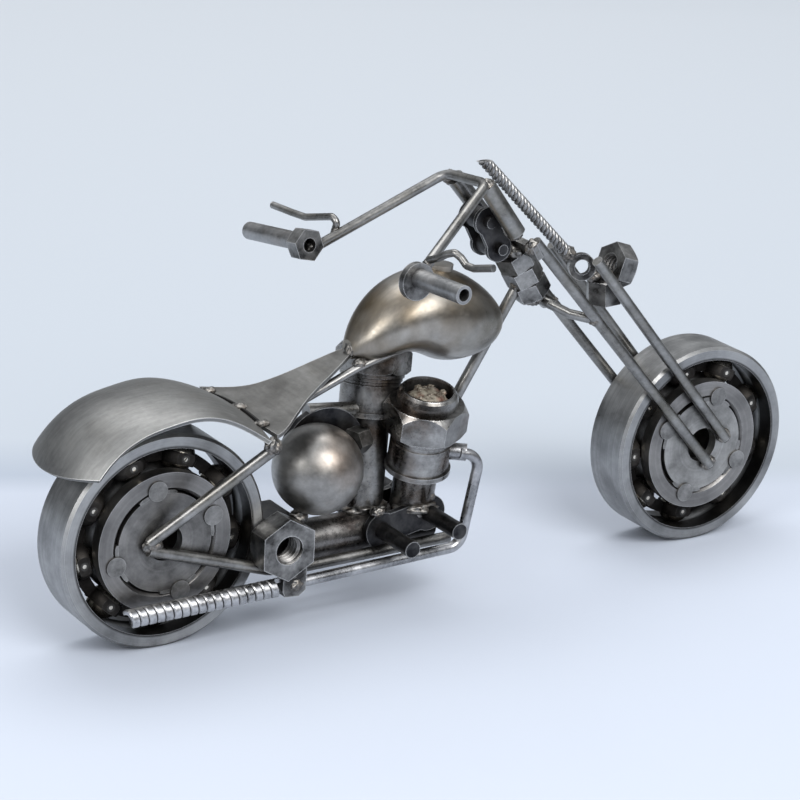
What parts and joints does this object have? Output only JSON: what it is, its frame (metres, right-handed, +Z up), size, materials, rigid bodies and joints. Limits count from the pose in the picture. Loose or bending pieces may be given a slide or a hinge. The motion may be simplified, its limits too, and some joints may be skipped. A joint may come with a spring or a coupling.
{
  "type": "scrap metal motorcycle sculpture",
  "caption": "Desk-top chopper motorcycle welded from ball bearings, nuts, spark-plug shells, rod and sheet steel, standing on bearing wheels that turn.",
  "frame": {"origin": "where the rear wheel meets the ground, on the middle plane of both wheels", "axes": "+X forward to the front wheel, +Y to the rider's left, +Z up"},
  "size_m": [0.2494, 0.1038, 0.127],
  "materials": {
    "bearing_steel": "ground steel, dull, lightly tarnished",
    "ball_steel": "polished balls, oily",
    "cage_steel": "pressed strip, dull",
    "hub_steel": "cut sheet, worn",
    "sheet_steel": "brushed sheet under clear lacquer, darker at the edges",
    "tank_steel": "polished sheet with faint heat tint",
    "rod_steel": "drawn rod, satin",
    "polished_ball": "polished ball, slightly hazed",
    "plug_steel": "plated shell, dulled",
    "weld_metal": "rough weld metal and burnt insulator",
    "dark_steel": "blackened steel, oily",
    "nut_steel": "machined nuts, dark in the corners",
    "tube_steel": "drawn tube, satin",
    "wire_steel": "bright wire, dark between the turns"
  },
  "bodies": {
    "frame": {"backbone_rod": "rod_steel", "ball_washer": "dark_steel", "carburettor_nut": "nut_steel", "crankcase": "dark_steel", "cylinder_gaskets": "plug_steel", "down_tube": "rod_steel", "exhaust_hanger": "rod_steel", "exhaust_pipe": "rod_steel", "exhaust_port_nut": "nut_steel", "filler_cap": "tank_steel", "foot_peg_pins": "dark_steel", "fork_lower_loop": "rod_steel", "fork_upper_strap": "rod_steel", "front_cylinder_core": "weld_metal", "front_cylinder_shell": "plug_steel", "front_fork_rods": "rod_steel", "front_hub_plates": "hub_steel", "front_inner_ring": "bearing_steel", "fuel_tank": "tank_steel", "gearbox_block": "dark_steel", "handlebar": "rod_steel", "handlebar_risers": "rod_steel", "headlight_nut": "nut_steel", "hub_tack_welds": "hub_steel", "intake_rod": "rod_steel", "lamp_ring": "nut_steel", "lamp_stem_nut": "nut_steel", "left_bar_nut": "nut_steel", "left_foot_peg_plate": "dark_steel", "left_grip": "tube_steel", "left_lever": "rod_steel", "lower_rails": "rod_steel", "muffler_coil": "wire_steel", "rear_cylinder_shell": "plug_steel", "rear_fender": "sheet_steel", "rear_fork_rods": "rod_steel", "rear_hub_plates": "hub_steel", "rear_inner_ring": "bearing_steel", "right_bar_washer": "nut_steel", "right_foot_peg_plate": "dark_steel", "right_grip": "tube_steel", "right_lever": "rod_steel", "seat": "sheet_steel", "seat_stays": "rod_steel", "side_nut": "nut_steel", "steel_ball": "polished_ball", "steering_head_nuts": "nut_steel", "steering_link_pins": "dark_steel", "steering_link_plates": "dark_steel", "steering_link_rollers": "dark_steel", "steering_stem": "rod_steel", "wire_rope": "wire_steel"},
    "rear_outer": {"rear_outer_ring": "bearing_steel"},
    "rear_ball_set": {"rear_balls": "ball_steel", "rear_cage": "cage_steel"},
    "front_outer": {"front_outer_ring": "bearing_steel"},
    "front_ball_set": {"front_balls": "ball_steel", "front_cage": "cage_steel"}
  },
  "joints": [
    {"name": "rear_spin", "type": "hinge", "parent": "frame", "child": "rear_outer", "pos_m": [0, 0, 0.031], "axis": [0, 1, 0], "continuous": true},
    {"name": "rear_ball_spin", "type": "hinge", "parent": "frame", "child": "rear_ball_set", "pos_m": [0, 0, 0.031], "axis": [0, 1, 0], "continuous": true},
    {"name": "front_spin", "type": "hinge", "parent": "frame", "child": "front_outer", "pos_m": [0.185, 0, 0.031], "axis": [0, 1, 0], "continuous": true},
    {"name": "front_ball_spin", "type": "hinge", "parent": "frame", "child": "front_ball_set", "pos_m": [0.185, 0, 0.031], "axis": [0, 1, 0], "continuous": true}
  ],
  "couplings": [
    {"joint": "rear_ball_spin", "follows": "rear_spin", "ratio": 0.6035},
    {"joint": "front_ball_spin", "follows": "front_spin", "ratio": 0.6035}
  ]
}
